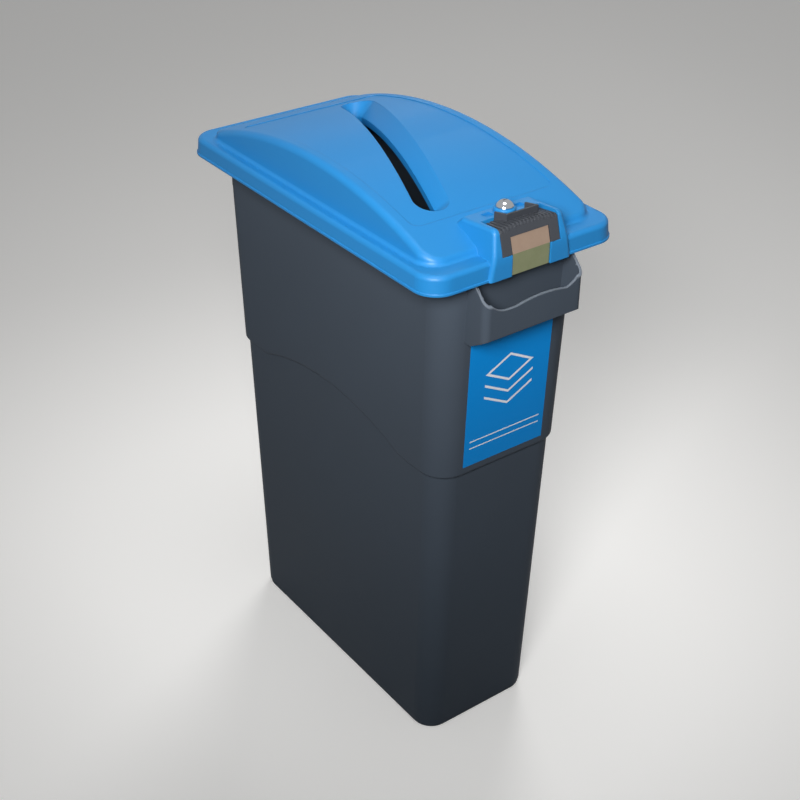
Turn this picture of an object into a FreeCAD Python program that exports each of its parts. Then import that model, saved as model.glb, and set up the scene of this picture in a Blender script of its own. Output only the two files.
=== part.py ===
import FreeCAD, Part
import os
import re
import Sketcher
from FreeCAD import Placement, Rotation, Vector

# A tall recycling bin with a hinged lid, a paper slot, a sprung latch and a key lock.
# Millimetres: X is the width, the latch end faces -Y, Z is up, the origin is on the floor.
SIZES = {
    # Body: tapered shell, whose upper zone stands proud above a stepped line with a hump on each side
    "body_height": 748.5,
    "body_base_width": 186.4,
    "body_base_length": 436.0,
    "body_mouth_width": 202.7,
    "body_mouth_length": 493.0,
    "body_corner": 31.0,
    "body_wall": 3.0,
    "body_floor": 4.0,
    "foot_height": 9.0,
    "foot_inset": 1.5,
    "foot_round": 3.0,
    "step_depth": 5.0,
    "step_level": 446.0,
    "step_round": 4.0,
    "hump_rise": 31.0,
    "hump_span": 316.0,
    "hump_blend": 40.0,
    # Rim: flange with a turned-down edge under the lid
    "rim_side_reach": 32.65,
    "rim_end_reach": 9.5,
    "rim_corner": 36.0,
    "rim_depth": 17.0,
    # Handles: one open band on each end wall, with levels counted down from the rim
    "handle_width": 150.0,
    "handle_depth": 37.5,
    "handle_wall": 3.2,
    "handle_corner": 9.0,
    "handle_drop": 88.5,
    "handle_root_drop": 103.5,
    "handle_root_depth": 12.0,
    "handle_valley_drop": 55.5,
    "handle_corner_drop": 46.5,
    "handle_side_drop": 12.5,
    "handle_dip": 34.0,
    "handle_crown": 4.6,
    "handle_crown_span": 80.0,
    "handle_crown_shift": 12.0,
    # Lid: leaning skirt with a lip, ledge and arched vault
    "lid_side_overhang": 10.0,
    "lid_end_overhang": 13.9,
    "lid_corner": 32.0,
    "lid_wall": 3.0,
    "lid_gap": 0.5,
    "lid_round": 6.0,
    "skirt_drop": 20.5,
    "skirt_lean": 1.6,
    "lip_height": 3.5,
    "lip_proud": 1.0,
    "lip_round": 0.8,
    "ledge_side": 17.5,
    "ledge_end": 25.9,
    "vault_corner": 26.0,
    "vault_draft": 14.0,
    "vault_rise": 53.0,
    "vault_round": 8.5,
    "vault_foot": 5.0,
    "arch_end_rise": 5.86,
    "panel_side": 20.5,
    "panel_end": 56.0,
    "panel_corner": 12.0,
    "panel_depth": 1.0,
    # Paper funnel: a diagonal trough that follows the arch, with its slot off the middle
    "funnel_turn": 19.4,
    "funnel_width": 48.0,
    "funnel_margin": 6.0,
    "funnel_depth": 19.0,
    "slot_width": 22.0,
    "slot_shift": 5.5,
    "slot_depth": 9.0,
    # Latch housing on the lid's front, narrower at its top
    "housing_width": 123.0,
    "housing_top_width": 101.0,
    "housing_proud": 3.1,
    "housing_sill": 3.0,
    "housing_rise": 32.5,
    "housing_lean": 9.2,
    "housing_fall": 5.0,
    "housing_depth": 67.0,
    "housing_slope": 18.0,
    "housing_roof": 5.0,
    "housing_bend_round": 60.0,
    "housing_brow": 8.0,
    "housing_round": 5.0,
    "pocket_width": 88.0,
    "pocket_depth": 42.2,
    "relief_inner": 17.0,
    "relief_width": 13.0,
    "relief_length": 11.0,
    "relief_depth": 3.5,
    "relief_shift": 2.0,
    "guide_width": 120.0,
    "guide_depth": 14.0,
    "guide_gap": 1.5,
    # Latch
    "latch_gap": 0.7,
    "leg_gap": 0.3,
    "latch_wall": 3.0,
    "latch_brow": 5.0,
    "latch_edge": 1.2,
    "pad_play": 2.4,
    "pad_rise": 1.0,
    "pad_crown": 4.0,
    "pad_fall": 4.0,
    "pad_thickness": 3.5,
    "pivot_inset": 19.0,
    "pivot_drop": 11.0,
    "pivot_radius": 2.5,
    "pivot_fit": 0.05,
    "ear_radius": 5.0,
    "ear_width": 5.0,
    "ear_place": 33.0,
    "rib_count": 16,
    "rib_pitch": 5.12,
    "groove_width": 2.7,
    "groove_depth": 1.8,
    "groove_drop": 4.5,
    "groove_bite": 1.0,
    "guard_rise": 4.5,
    "guard_wall": 2.2,
    "guard_left": 19.0,
    "guard_right": 28.5,
    "guard_flare": 7.0,
    "guard_lead": 14.3,
    "boss_play": 2.4,
    "stop_width": 20.0,
    "stop_play": 2.4,
    # Steel strip on the latch
    "plate_width": 56.0,
    "plate_thickness": 2.0,
    "plate_rise": 19.5,
    "plate_gap": 1.0,
    "plate_sink": 1.4,
    "hook_gap": 1.0,
    "hook_play": 0.9,
    "rivet_radius": 2.0,
    "rivet_head": 4.0,
    "rivet_head_height": 1.0,
    "rivet_spacing": 32.0,
    "rivet_rise": 11.0,
    # Torsion spring on the pivot pin
    "spring_radius": 4.1,
    "spring_length": 10.0,
    "spring_place": 14.0,
    "spring_wire": 1.2,
    "spring_leg": 13.0,
    # Lock
    "lock_inset": 52.0,
    "boss_radius": 13.5,
    "boss_rise": 5.2,
    "boss_thickness": 12.0,
    "boss_edge": 1.5,
    "barrel_radius": 7.5,
    "barrel_length": 18.0,
    "barrel_flange": 10.0,
    "flange_thickness": 1.0,
    "barrel_fit": 0.05,
    "plug_radius": 4.0,
    "dome_radius": 10.9,
    "dome_height": 7.0,
    "key_width": 1.2,
    "key_length": 6.0,
    "key_depth": 2.5,
    "washer_radius": 11.0,
    "washer_thickness": 1.0,
    "nut_flats": 19.0,
    "nut_thickness": 4.0,
    "cam_length": 26.0,
    "cam_width": 10.0,
    "cam_thickness": 2.5,
    "cam_gap": 0.2,
    "cam_hole": 3.0,
    "cam_play": 1.0,
    "cam_screw_radius": 1.5,
    "cam_screw_head": 4.5,
    "cam_screw_cap": 2.5,
    "cam_screw_length": 7.0,
    # Rear hinge
    "hinge_out": 7.1,
    "hinge_drop": 14.5,
    "hinge_radius": 2.5,
    "hinge_fit": 0.05,
    "arm_fit": 0.01,
    "knuckle_radius": 5.5,
    "knuckle_width": 10.0,
    "knuckle_gap": 0.5,
    "arm_place": 38.0,
    "arm_width": 12.0,
    "arm_gap": 1.2,
    "bracket_width": 118.0,
    "bracket_height": 13.5,
    "bracket_thickness": 3.0,
    "screw_radius": 2.4,
    "screw_head": 4.4,
    "screw_head_height": 2.6,
    "screw_inner": 15.0,
    "screw_outer": 52.0,
    # Label on the front wall, with its top edge behind the handle
    "label_width": 128.0,
    "label_gap": 12.0,
    "label_tuck": 7.0,
    "label_thickness": 0.3,
    "seat_gap": 0.05,
}

# Levels and places that follow from the sizes
PLACES = {
    "rim_width": "body_mouth_width + 2 * rim_side_reach",
    "rim_length": "body_mouth_length + 2 * rim_end_reach",
    "rim_low": "body_height - rim_depth",
    "rim_edge": "rim_length / 2",
    "handle_reach": "body_mouth_length / 2 + handle_depth",
    "handle_bottom": "body_height - handle_drop",
    "handle_root_bottom": "body_height - handle_root_drop",
    "handle_valley": "body_height - handle_valley_drop",
    "handle_corner_top": "body_height - handle_corner_drop",
    "handle_side_top": "body_height - handle_side_drop",
    "label_bottom": "step_level + label_gap",
    "label_top": "handle_root_bottom + label_tuck",
    "lid_width": "rim_width + 2 * lid_side_overhang",
    "lid_length": "rim_length + 2 * lid_end_overhang",
    "lid_bottom": "body_height - skirt_drop",
    "ledge_under": "body_height + lid_gap",
    "lid_ledge": "ledge_under + lid_wall",
    "skirt_back": "lid_length / 2",
    "vault_width": "lid_width - 2 * ledge_side",
    "vault_length": "lid_length - 2 * ledge_end",
    "panel_width": "vault_width - 2 * panel_side",
    "panel_length": "vault_length - 2 * panel_end",
    "funnel_length": "panel_length - funnel_margin",
    "arch_sag": "vault_rise - arch_end_rise",
    "arch_radius": "((vault_length / 2)^2 + arch_sag^2) / (2 * arch_sag)",
    "arch_crest": "lid_ledge + vault_rise",
    "arch_centre": "arch_crest - arch_radius",
    "housing_bend": "lid_ledge + housing_sill",
    "housing_top": "housing_bend + housing_rise",
    "housing_front": "lid_length / 2 + housing_proud",
    "housing_back": "housing_front - housing_depth",
    "housing_foot": "housing_back - housing_slope",
    "pocket_half": "pocket_width / 2",
    "pocket_back": "housing_front - pocket_depth",
    "latch_half": "pocket_half - latch_gap",
    "lean": "housing_lean / housing_rise",
    "latch_front": "latch_gap - housing_front",
    "latch_low": "housing_bend + leg_gap",
    "pad_back": "pocket_back + pad_play",
    "pad_top": "housing_top + pad_rise",
    "pad_low": "pad_top - pad_crown - pad_fall - pad_thickness",
    "pad_front": "latch_front + lean * (pad_top - housing_bend)",
    "pad_slope": "pad_fall / (-pad_back - pad_front)",
    "crown_radius": "(latch_half^2 + pad_crown^2) / (2 * pad_crown)",
    "pivot_place": "housing_front - pivot_inset",
    "pivot_level": "housing_top - pivot_drop",
    "guard_top": "pad_top + guard_rise",
    "guard_front": "pad_back + guard_lead",
    "plate_top": "housing_bend + plate_rise",
    "rivet_level": "housing_bend + rivet_rise",
    "strip_half": "plate_width / 2 + plate_gap",
    "lock_place": "housing_front - lock_inset",
    "roof_slope": "housing_fall / (housing_depth - housing_lean)",
    "roof_at_lock": "housing_top - roof_slope * (lock_inset - housing_lean)",
    "boss_top": "roof_at_lock + boss_rise",
    "boss_low": "boss_top - boss_thickness",
    "barrel_low": "boss_top - barrel_length",
    "cam_top": "barrel_low - cam_gap",
    "cam_low": "cam_top - cam_thickness",
    "hinge_place": "skirt_back + hinge_out",
    "hinge_level": "body_height - hinge_drop",
    "bracket_front": "rim_edge + seat_gap",
    "bracket_face": "bracket_front + bracket_thickness",
    "screw_level": "rim_low + bracket_height / 2",
}

ROOM = 60.0
FINE = 0.01
UP = Vector(0, 0, 1)

doc = FreeCAD.newDocument("recycling_bin")
sheet = doc.addObject("Spreadsheet::Sheet", "Sizes")
for row, (alias, number) in enumerate(SIZES.items(), start=1):
    sheet.set(f"A{row}", alias)
    sheet.set(f"B{row}", str(number))
    sheet.setAlias(f"B{row}", alias)
gauge = doc.addObject("App::FeaturePython", "Gauge")
gauge.addProperty("App::PropertyFloat", "reading")
doc.recompute()


def formula(text):
    """Writes a formula out down to its sizes, and points those at the sheet."""
    def written_out(word):
        name = word[0]
        if name in PLACES:
            return f"({formula(PLACES[name])})"
        return f"Sizes.{name}" if name in SIZES else name

    return re.sub(r"[a-z_]+", written_out, text)


def value(text):
    """The number that a formula gives now."""
    gauge.setExpression("reading", formula(text))
    gauge.recompute()
    return gauge.reading


def bind(item, **formulas):
    for name, text in formulas.items():
        item.setExpression(name, formula(text))
    return item


def place(item, x="0", y="0", z="0", rotation=None):
    if rotation:
        item.Placement = Placement(Vector(), rotation)
    for axis, text in zip("xyz", (x, y, z)):
        item.setExpression(f"Placement.Base.{axis}", formula(text))
    return item


# Sketched bodies

def origin_plane(body, role):
    return next(plane for plane in body.Origin.OriginFeatures if plane.Role == role)


def outline(body, role, points, lift="0"):
    """A closed outline of straight runs whose corners are bound to the sheet."""
    sketch = body.newObject("Sketcher::SketchObject", f"{body.Name}_outline")
    sketch.AttachmentSupport = (origin_plane(body, role), [""])
    sketch.MapMode = "FlatFace"
    sketch.setExpression("AttachmentOffset.Base.z", formula(lift))
    corners = [Vector(value(x), value(y), 0) for x, y in points]
    count = len(corners)
    for i, corner in enumerate(corners):
        sketch.addGeometry(Part.LineSegment(corner, corners[(i + 1) % count]))
    for i in range(count):
        sketch.addConstraint(Sketcher.Constraint("Coincident", i, 2, (i + 1) % count, 1))
    for i, (x, y) in enumerate(points):
        for kind, text, number in (("DistanceX", x, corners[i].x), ("DistanceY", y, corners[i].y)):
            index = sketch.addConstraint(Sketcher.Constraint(kind, -1, 1, i, 1, number))
            sketch.setExpression(f"Constraints[{index}]", formula(text))
    return sketch


def prism(name, role, points, start, length):
    """An outline padded along its plane's normal, from start over length."""
    body = doc.addObject("PartDesign::Body", name)
    pad = body.newObject("PartDesign::Pad", f"{name}_pad")
    pad.Profile = outline(body, role, points, start)
    bind(pad, Length=length)
    return body


def rectangle(width, length):
    x, y = f"({width}) / 2", f"({length}) / 2"
    return [(f"-{x}", f"-{y}"), (x, f"-{y}"), (x, y), (f"-{x}", y)]


def trapezium(low_width, low, high_width, high):
    x, top_x = f"({low_width}) / 2", f"({high_width}) / 2"
    return [(f"-{x}", low), (x, low), (top_x, high), (f"-{top_x}", high)]


def rounded(body, radius, wanted):
    """Rounds the edges of a body that the wanted function picks."""
    doc.recompute()
    tip = body.Tip
    edges = [f"Edge{i}" for i, edge in enumerate(tip.Shape.Edges, start=1) if wanted(edge)]
    fillet = body.newObject("PartDesign::Fillet", f"{body.Name}_round")
    fillet.Base = (tip, edges)
    bind(fillet, Radius=radius)
    return body


def upright(edge):
    return edge.BoundBox.ZLength > FINE


def slab(name, width, length, corner, low, high):
    body = prism(name, "XY_Plane", rectangle(width, length), low, f"({high}) - ({low})")
    return rounded(body, corner, upright)


# Primitives and booleans

def box(name, x, y, z):
    """A box from pairs of formulas, the low and the high side along each axis."""
    item = doc.addObject("Part::Box", name)
    for side, (low, high) in zip(("Length", "Width", "Height"), (x, y, z)):
        bind(item, **{side: f"({high}) - ({low})"})
    return place(item, x[0], y[0], z[0])


def rod(name, axis, radius, start, end, first, second):
    """A cylinder along one axis at its place on the two other axes, in their order."""
    item = doc.addObject("Part::Cylinder", name)
    bind(item, Radius=radius, Height=f"({end}) - ({start})")
    if axis == "X":
        return place(item, start, first, second, Rotation(Vector(0, 1, 0), 90))
    if axis == "Y":
        return place(item, first, start, second, Rotation(Vector(1, 0, 0), -90))
    return place(item, first, second, start)


def fuse(name, *shapes):
    item = doc.addObject("Part::MultiFuse", name)
    item.Shapes = list(shapes)
    return item


def common(name, first, second):
    item = doc.addObject("Part::Common", name)
    item.Base = first
    item.Tool = second
    return item


def cut(name, base, *tools):
    item = doc.addObject("Part::Cut", name)
    item.Base = base
    item.Tool = tools[0] if len(tools) == 1 else fuse(f"{name}_tools", *tools)
    return item


def filleted(name, base, radius, wanted):
    """Rounds the edges of a boolean that the wanted function picks."""
    doc.recompute()
    size = value(radius)
    item = doc.addObject("Part::Fillet", name)
    item.Base = base
    item.Edges = [(i, size, size) for i, edge in enumerate(base.Shape.Edges, start=1) if wanted(edge)]
    return item


def tapered(name, low, high, corner):
    """A block with rounded corners between two rectangles, each a level, a width and a length."""
    views = []
    for view, role, along, across in (("front", "XZ_Plane", 1, 2), ("side", "YZ_Plane", 2, 1)):
        points = trapezium(low[along], low[0], high[along], high[0])
        reach = f"({low[across]}) / 2 + ({high[across]}) / 2"
        views.append(prism(f"{name}_{view}", role, points, f"-({reach})", f"2 * ({reach})"))
    return filleted(name, common(f"{name}_sharp", *views), corner, upright)


def both_sides(maker, name, *details):
    return [maker(f"{name}_{side}", sign, *details) for side, sign in (("left", "-1"), ("right", "1"))]


# Body shell: two tapered shells, the outer one only above the stepped line

def body_block(name, grow, low, high):
    width, length = f"body_base_width + 2 * ({grow})", f"body_base_length + 2 * ({grow})"
    top_width, top_length = f"body_mouth_width + 2 * ({grow})", f"body_mouth_length + 2 * ({grow})"
    return tapered(name, (low, width, length), (high, top_width, top_length), f"body_corner + ({grow})")


def above_step(name, lift):
    """The space above the stepped line: level round the ends, with a hump along each side."""
    radius = "((hump_span / 2)^2 + hump_rise^2) / (2 * hump_rise)"
    reach = f"body_mouth_length / 2 + {ROOM}"
    half = f"rim_width / 2 + {ROOM}"
    level = f"step_level + ({lift})"
    space = box(f"{name}_space", (f"-({half})", half), (f"-({reach})", reach),
                (level, f"body_height + {ROOM}"))
    hump = rod(f"{name}_hump", "X", radius, f"-({half})", half, "0", f"{level} + hump_rise - ({radius})")
    crease = value("hump_span / 2")
    floor = value(level)

    def at_crease(edge):
        centre = edge.CenterOfMass
        return abs(abs(centre.y) - crease) < FINE and abs(centre.z - floor) < FINE

    return filleted(name, cut(f"{name}_cut", space, hump), "hump_blend", at_crease)


def step_edge(edge):
    """The outer edge of the step, without the creases that cross from side to side."""
    limits = edge.BoundBox
    straight_end = value("body_base_length / 2 - body_corner")
    crease_line = limits.YLength < FINE and abs(limits.Center.y) < straight_end
    return limits.ZMax < value("step_level + hump_rise") + FINE and not crease_line


upper_zone = filleted(
    "upper_zone",
    common("upper_zone_sharp", body_block("upper_block", "step_depth", "foot_height", "body_height"),
           above_step("outer_step", "0")),
    "step_round", step_edge)
lower_zone = body_block("lower_block", "0", "foot_height", "body_height")
foot = slab("foot", "body_base_width - 2 * foot_inset", "body_base_length - 2 * foot_inset",
            "body_corner - foot_inset", "0", "foot_height + body_floor")
rounded(foot, "foot_round", lambda edge: edge.BoundBox.ZMax < FINE)

rim = cut("rim", slab("rim_block", "rim_width", "rim_length", "rim_corner", "rim_low", "body_height"),
          slab("rim_hollow", "rim_width - 2 * body_wall", "rim_length - 2 * body_wall",
               "rim_corner - body_wall", f"rim_low - {ROOM}", "body_height - body_wall"))

# Handles: a band in plan, trimmed by the side view, with a crown between two dips in its top edge

wall_line = "body_base_length / 2"
band_half = "handle_width / 2"
band_inner = "handle_width / 2 - handle_wall"
face_inner = "handle_reach - handle_wall"


def handle(name, sign):
    outer = [(f"-{band_half}", f"{sign} * {wall_line}"), (f"-{band_half}", f"{sign} * handle_reach"),
             (band_half, f"{sign} * handle_reach"), (band_half, f"{sign} * {wall_line}")]
    inner = [(band_inner, f"{sign} * {wall_line}"), (band_inner, f"{sign} * ({face_inner})"),
             (f"-({band_inner})", f"{sign} * ({face_inner})"), (f"-({band_inner})", f"{sign} * {wall_line}")]
    band = prism(f"{name}_band", "XY_Plane", outer + inner, "handle_root_bottom",
                 "handle_side_top - handle_root_bottom")
    for face, radius in (("handle_reach", "handle_corner"), (face_inner, "handle_corner - handle_wall")):
        line = value(face)
        rounded(band, radius,
                lambda edge: upright(edge) and abs(abs(edge.CenterOfMass.y) - line) < FINE)
    root = "body_mouth_length / 2"
    side = [(f"{sign} * {wall_line}", "handle_root_bottom"),
            (f"{sign} * ({root} + handle_root_depth)", "handle_root_bottom"),
            (f"{sign} * handle_reach", "handle_bottom"), (f"{sign} * handle_reach", "handle_corner_top"),
            (f"{sign} * ({root} + step_depth)", "handle_side_top"),
            (f"{sign} * {wall_line}", "handle_side_top")]
    trimmed = common(f"{name}_trimmed", band,
                     prism(f"{name}_side", "YZ_Plane", side, f"-{band_half} - {ROOM}",
                           f"handle_width + {2 * ROOM}"))
    dip_place = f"{band_half} - handle_dip"
    near, far = sorted((f"{sign} * ({face_inner} - handle_corner)", f"{sign} * (handle_reach + {ROOM})"),
                       key=value)
    valley = [box(f"{name}_valley", (f"-({dip_place})", dip_place), (near, far),
                  ("handle_valley", f"handle_side_top + {ROOM}"))]
    for side_name, turn in (("left", "-1"), ("right", "1")):
        valley.append(rod(f"{name}_dip_{side_name}", "Y", "handle_dip", near, far, f"{turn} * ({dip_place})",
                          "handle_valley + handle_dip"))
    crown_radius = "((handle_crown_span / 2)^2 + handle_crown^2) / (2 * handle_crown)"
    crown_arc = rod(f"{name}_crown_arc", "Y", crown_radius, near, far, f"-{sign} * handle_crown_shift",
                    f"handle_valley + handle_crown - {crown_radius}")
    return fuse(name, cut(f"{name}_dipped", trimmed, *valley), common(f"{name}_crown", trimmed, crown_arc))


front_handle = handle("front_handle", "-1")
rear_handle = handle("rear_handle", "1")

cavity = fuse(
    "cavity", body_block("lower_cavity", "-body_wall", "body_floor", f"body_height + {FINE}"),
    common("upper_cavity", body_block("upper_cavity_block", "step_depth - body_wall", "body_floor",
                                      f"body_height + {FINE}"), above_step("inner_step", "body_wall")))
SCREW_PLACES = ("-screw_outer", "-screw_inner", "screw_inner", "screw_outer")
screw_holes = [
    rod(f"screw_hole_{i}", "Y", "screw_radius + seat_gap", f"rim_edge - body_wall - {FINE}",
        f"rim_edge + {FINE}", spot, "screw_level") for i, spot in enumerate(SCREW_PLACES)]
bin_body = cut("bin_body", fuse("body_solid", lower_zone, upper_zone, foot, rim, front_handle, rear_handle),
               cavity, *screw_holes)

# Front label: a sticker that lies on the sloping front wall

wall_run = "(body_mouth_length - body_base_length) / 2"
wall_rise = "body_height - foot_height"
label_run = f"{wall_run} * (label_bottom - foot_height) / ({wall_rise})"
label_front = f"body_base_length / 2 + step_depth + {label_run}"
front_label = doc.addObject("Part::Box", "front_label")
bind(front_label, Length="label_width", Width="label_thickness", Height="label_top - label_bottom")
place(front_label, "-label_width / 2", f"-({label_front}) - label_thickness - seat_gap", "label_bottom",
      Rotation(Vector(1, 0, 0), value(f"atan({wall_run} / ({wall_rise}))")))

# Lid shell: skirt and ledge, arched vault and latch housing, hollow from below

arch_reach = f"lid_width / 2 + {ROOM}"


def arch(name, sink):
    """The cylinder whose top is the vault's arch, sunk by a wall or a recess."""
    return rod(name, "X", f"arch_radius - ({sink})", f"-({arch_reach})", arch_reach, "0", "arch_centre")


def skirt_block(name, wall, low, high, low_lean):
    """The leaning skirt's outer or inner form, whose top edge is rounded."""
    sizes = [(level, f"lid_width - 2 * ({inset})", f"lid_length - 2 * ({inset})")
             for level, inset in ((low, f"lip_proud + {wall} + ({low_lean})"),
                                  (high, f"lip_proud + {wall} + skirt_lean"))]
    top = value(high)
    block = tapered(f"{name}_block", *sizes, f"lid_corner - lip_proud - {wall}")
    return filleted(name, block, f"lid_round - {wall}", lambda edge: edge.BoundBox.ZMin > top - FINE)


def vault_block(name, inset):
    low = ("lid_bottom", f"vault_width - 2 * ({inset})", f"vault_length - 2 * ({inset})")
    top_width = f"vault_width - vault_draft - 2 * ({inset})"
    top_length = f"vault_length - vault_draft - 2 * ({inset})"
    return tapered(name, low, (f"arch_crest + {ROOM}", top_width, top_length), f"vault_corner - ({inset})")


def on_arch(sink):
    """Picks the edges round the arch, sunk by a wall or not."""
    centre = Vector(0, 0, value("arch_centre"))
    radius = value(f"arch_radius - ({sink})")

    def there(edge):
        heights = [Vector(0, end.Y, end.Z).distanceToPoint(centre) for end in edge.Vertexes]
        return all(abs(height - radius) < FINE for height in heights)

    return there


def at_foot(edge):
    """The crease where the vault rises from the ledge."""
    limits = edge.BoundBox
    ledge = value("lid_ledge")
    level = abs(limits.ZMin - ledge) < FINE and abs(limits.ZMax - ledge) < FINE
    middle = limits.Center
    return level and abs(middle.x) < value("vault_width / 2") and abs(middle.y) < value("vault_length / 2")


def housing_side(name, inset, roof):
    """Side view of the housing: upright front, leaning front, falling top and a slope down to the vault."""
    front, back, top = f"-housing_front + ({inset})", "-housing_foot", f"housing_top - ({roof})"
    side = [(front, "lid_bottom"), (front, "housing_bend"), (f"{front} + housing_lean", top),
            (f"-housing_back - ({inset})", f"{top} - housing_fall"),
            (back, f"{top} - housing_fall - housing_slope"), (back, "lid_bottom")]
    return prism(f"{name}_side", "YZ_Plane", side, "-housing_width / 2", "housing_width")


def housing_front_view(name, inset):
    width, top_width = f"housing_width - 2 * ({inset})", f"housing_top_width - 2 * ({inset})"
    points = trapezium(width, "lid_bottom", top_width, "housing_top")
    return prism(f"{name}_front", "XZ_Plane", points, "-lid_length", "2 * lid_length")


def across(y, z):
    """Picks the edges that run across the width at one place of the side view."""
    wanted = Vector(0, value(y), value(z))

    def there(edge):
        return edge.BoundBox.XLength > FINE and edge.CenterOfMass.distanceToPoint(wanted) < FINE

    return there


lip = slab("lip", "lid_width", "lid_length", "lid_corner", "lid_bottom", "lid_bottom + lip_height")
rounded(lip, "lip_round", lambda edge: not upright(edge))
skirt = skirt_block("skirt", "0", "lid_bottom", "lid_ledge", "0")
vault = filleted("vault", common("vault_sharp", vault_block("vault_outer", "0"), arch("vault_arch", "0")),
                 "vault_round", on_arch("0"))
vault_hollow_sharp = common("vault_hollow_sharp", vault_block("vault_inner", "lid_wall"),
                            arch("vault_inner_arch", "lid_wall"))
vault_hollow = filleted("vault_hollow", vault_hollow_sharp, "vault_round - lid_wall", on_arch("lid_wall"))
domed_skirt = filleted("domed_skirt", fuse("domed_skirt_sharp", skirt, vault), "vault_foot", at_foot)

housing_profile = housing_side("housing", "0", "0")
rounded(housing_profile, "housing_bend_round", across("-housing_front", "housing_bend"))
rounded(housing_profile, "housing_brow", across("-housing_front + housing_lean", "housing_top"))
housing_sharp = common("housing_sharp", housing_profile, housing_front_view("housing", "0"))


def housing_flank(edge):
    """The housing's long outer edges on its two flanks."""
    limits = edge.BoundBox
    flank = abs(limits.Center.x) > value("housing_top_width / 2") - FINE
    return flank and limits.ZMax > value("lid_bottom") + FINE and limits.YMin < value("-housing_foot") - FINE


housing = filleted("housing", housing_sharp, "housing_round", housing_flank)
lock_y = "-lock_place"
boss = rod("boss", "Z", "boss_radius", "boss_low", "boss_top - boss_edge", "0", lock_y)
boss_rim = doc.addObject("Part::Cone", "boss_rim")
bind(boss_rim, Radius1="boss_radius", Radius2="boss_radius - boss_edge", Height="boss_edge")
place(boss_rim, "0", lock_y, "boss_top - boss_edge")
lid_block = fuse("lid_block", lip, domed_skirt, housing)
lid_hollow = fuse(
    "lid_hollow",
    skirt_block("skirt_hollow", "lid_wall", "2 * lid_bottom - ledge_under", "ledge_under", "-skirt_lean"),
    vault_hollow,
    common("housing_hollow", housing_side("housing_hollow", "lid_wall", "housing_roof"),
           housing_front_view("housing_hollow", "lid_wall")))
pocket_walls = box("pocket_walls", ("-pocket_half - lid_wall", "pocket_half + lid_wall"),
                   (f"-housing_front - {ROOM}", "-pocket_back + lid_wall"),
                   ("housing_bend - lid_wall", f"housing_top + {ROOM}"))
lid_shell = cut("lid_shell", lid_block, cut("lid_hollow_kept", lid_hollow, pocket_walls))

# Paper funnel: a steep wall, a sloping wall and an upright lip, swept along the arch across the lid

sweep_radius = "arch_radius / cos(funnel_turn)^2"
sweep_centre = f"arch_crest - {sweep_radius}"
end_angle = f"asin((funnel_length - funnel_width) / 2 / ({sweep_radius}))"


def trough(name, grow, top):
    """The funnel's section about the sweep's centre, with a round end at the front and at the rear."""
    slot_top = f"{sweep_radius} - funnel_depth"
    levels = [f"{slot_top} - slot_depth", slot_top, sweep_radius, f"{sweep_radius} + {top}"]
    wide, narrow = f"(funnel_width / 2 + {grow})", f"(slot_width / 2 + {grow})"
    rings = [("-slot_shift", narrow), ("-slot_shift", narrow), ("0", wide), ("0", wide)]
    right = [(f"{shift} + {half}", level) for (shift, half), level in zip(rings, levels)]
    left = [(f"{shift} - {half}", level) for (shift, half), level in zip(rings, levels)]
    body = doc.addObject("PartDesign::Body", f"{name}_sweep")
    sweep = body.newObject("PartDesign::Revolution", f"{name}_revolution")
    sketch = outline(body, "XZ_Plane", right + left[::-1])
    sweep.Profile = sketch
    sweep.ReferenceAxis = (sketch, ["H_Axis"])
    sweep.Midplane = True
    bind(sweep, Angle=f"2 * {end_angle}")
    turn = Rotation(UP, -value("funnel_turn"))
    centre = Vector(0, 0, value(sweep_centre))
    body.Placement = Placement(centre, turn)
    ends = []
    for end, sign in (("front", 1), ("rear", -1)):
        tilt = turn.multiply(Rotation(Vector(1, 0, 0), sign * value(end_angle)))
        circles = []
        for ring, ((shift, half), level) in enumerate(zip(rings, levels)):
            circle = doc.addObject("Part::Circle", f"{name}_{end}_circle_{ring}")
            bind(circle, Radius=half)
            circle.Placement = Placement(centre + tilt.multVec(Vector(value(shift), 0, value(level))), tilt)
            circles.append(circle)
        funnel_end = doc.addObject("Part::Loft", f"{name}_{end}")
        funnel_end.Sections = circles
        funnel_end.Solid = True
        funnel_end.Ruled = True
        ends.append(funnel_end)
    return fuse(name, body, *ends)


funnel_walls = common("funnel_walls_in", trough("funnel_walls", "lid_wall", "lid_wall"),
                      arch("funnel_arch", f"{FINE}"))
funnel_space = trough("funnel_space", "0", "funnel_depth")

# Cuts and additions at the lid's front: latch pocket, lock boss, reliefs, strip slot and pin holes

pocket = cut(
    "pocket",
    box("pocket_space", ("-pocket_half", "pocket_half"), (f"-housing_front - {ROOM}", "-pocket_back"),
        ("housing_bend", f"housing_top + {ROOM}")),
    rod("pocket_boss", "Z", "boss_radius", "boss_low", f"boss_top + {ROOM}", "0", lock_y))
window = box("window", ("-boss_radius - cam_play", "cam_length + cam_width / 2 + cam_play"),
             (f"-pocket_back - {FINE}", f"-pocket_back + lid_wall + {FINE}"),
             ("cam_low - cam_screw_cap - cam_play", "boss_low"))
strip_back = "-housing_front + plate_sink + plate_thickness + lid_wall + plate_gap"
strip_slot = box("strip_slot", ("-strip_half", "strip_half"), (f"-housing_front - {ROOM}", strip_back),
                 (f"lid_bottom - {ROOM}", "housing_bend + lid_wall"))


def relief(name, sign):
    near, far = sorted((f"{sign} * relief_inner", f"{sign} * (relief_inner + relief_width)"), key=value)
    middle = f"{lock_y} + relief_shift"
    return box(name, (near, far), (f"{middle} - relief_length / 2", f"{middle} + relief_length / 2"),
               ("roof_at_lock - relief_depth", f"housing_top + {ROOM}"))


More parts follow.
